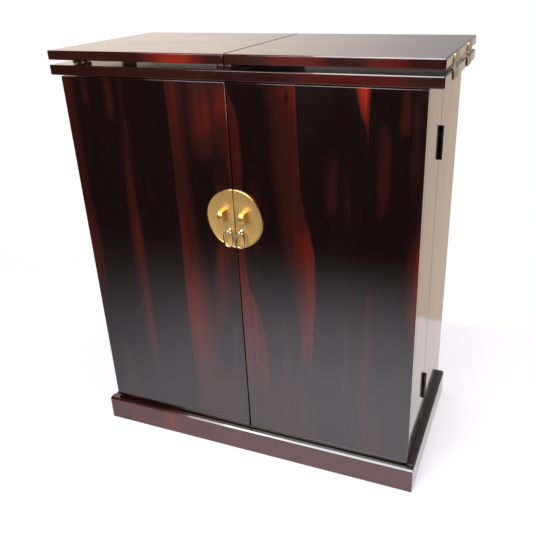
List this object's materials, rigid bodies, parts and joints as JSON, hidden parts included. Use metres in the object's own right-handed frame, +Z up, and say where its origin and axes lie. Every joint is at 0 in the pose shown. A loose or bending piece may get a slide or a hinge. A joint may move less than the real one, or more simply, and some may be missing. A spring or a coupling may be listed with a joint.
{
  "type": "flip-top bar cabinet",
  "caption": "Lacquered bar cabinet with deep doors that swing out as wings, a folding leaf top, a round brass lock plate and a plinth.",
  "frame": {"origin": "on the floor, at the middle of the overall box of the closed cabinet", "axes": "+X to the right along the front, -Y out of the doors towards the user, +Z up"},
  "size_m": [0.9286, 0.4556, 1.038],
  "materials": {
    "lacquer": "near-black and deep red figured high-gloss lacquer",
    "inner_lacquer": "red-brown satin lacquer",
    "brass": "warm golden brass, softly brushed",
    "silvery_brass": "pale polished brass",
    "dark_bronze": "dark antique bronze"
  },
  "bodies": {
    "case": {"plinth_front": "lacquer", "plinth_left": "lacquer", "plinth_right": "lacquer", "plinth_back": "lacquer", "base_board": "lacquer", "case_left_side": "lacquer", "case_right_side": "lacquer", "case_back": "lacquer", "case_shelf": "inner_lacquer", "stemware_rail_left": "inner_lacquer", "stemware_rail_middle": "inner_lacquer", "stemware_rail_right": "inner_lacquer", "bottle_cradle_front": "inner_lacquer", "bottle_cradle_back": "inner_lacquer", "counter_top": "lacquer", "left_door_hinge_upper_case_plate": "dark_bronze", "left_door_hinge_lower_case_plate": "dark_bronze", "left_leaf_hinge_front_counter_plate": "silvery_brass", "left_leaf_hinge_back_counter_plate": "silvery_brass", "right_door_hinge_upper_case_plate": "dark_bronze", "right_door_hinge_lower_case_plate": "dark_bronze", "right_leaf_hinge_front_counter_plate": "silvery_brass", "right_leaf_hinge_back_counter_plate": "silvery_brass"},
    "left_door": {"left_door_front_panel": "lacquer", "left_door_outer_side": "lacquer", "left_door_meeting_side": "lacquer", "left_door_bottom": "inner_lacquer", "left_door_top": "inner_lacquer", "left_door_shelf": "inner_lacquer", "left_door_gallery_rail_lower": "inner_lacquer", "left_door_gallery_rail_upper": "inner_lacquer", "left_lock_plate": "brass", "left_lock_stud": "brass", "left_pull_post": "silvery_brass", "left_door_hinge_upper_door_plate": "dark_bronze", "left_door_hinge_lower_door_plate": "dark_bronze"},
    "left_top_leaf": {"left_leaf": "lacquer", "left_leaf_batten": "lacquer", "left_leaf_hinge_front_leaf_plate": "silvery_brass", "left_leaf_hinge_back_leaf_plate": "silvery_brass"},
    "left_ring": {"left_pull_ring": "silvery_brass"},
    "right_door": {"right_door_front_panel": "lacquer", "right_door_outer_side": "lacquer", "right_door_meeting_side": "lacquer", "right_door_bottom": "inner_lacquer", "right_door_top": "inner_lacquer", "right_door_shelf": "inner_lacquer", "right_door_gallery_rail_lower": "inner_lacquer", "right_door_gallery_rail_upper": "inner_lacquer", "right_lock_plate": "brass", "right_lock_stud": "brass", "right_pull_post": "silvery_brass", "right_door_hinge_upper_door_plate": "dark_bronze", "right_door_hinge_lower_door_plate": "dark_bronze"},
    "right_top_leaf": {"right_leaf": "lacquer", "right_leaf_batten": "lacquer", "right_leaf_hinge_front_leaf_plate": "silvery_brass", "right_leaf_hinge_back_leaf_plate": "silvery_brass"},
    "right_ring": {"right_pull_ring": "silvery_brass"}
  },
  "joints": [
    {"name": "left_door_swing", "type": "hinge", "parent": "case", "child": "left_door", "pos_m": [-0.432, -0.0369, 0.5], "axis": [0, 0, -1], "range_deg": [0, 180]},
    {"name": "left_leaf_flip", "type": "hinge", "parent": "case", "child": "left_top_leaf", "pos_m": [-0.4601, 0.0118, 1.0115], "axis": [0, -1, 0], "range_deg": [0, 180]},
    {"name": "left_ring_lift", "type": "hinge", "parent": "left_door", "child": "left_ring", "pos_m": [-0.015, -0.2148, 0.644], "axis": [-1, 0, 0], "range_deg": [-7, 100]},
    {"name": "right_door_swing", "type": "hinge", "parent": "case", "child": "right_door", "pos_m": [0.432, -0.0369, 0.5], "axis": [0, 0, 1], "range_deg": [0, 180]},
    {"name": "right_leaf_flip", "type": "hinge", "parent": "case", "child": "right_top_leaf", "pos_m": [0.4601, 0.0118, 1.0115], "axis": [0, 1, 0], "range_deg": [0, 180]},
    {"name": "right_ring_lift", "type": "hinge", "parent": "right_door", "child": "right_ring", "pos_m": [0.015, -0.2148, 0.644], "axis": [-1, 0, 0], "range_deg": [-7, 100]}
  ]
}
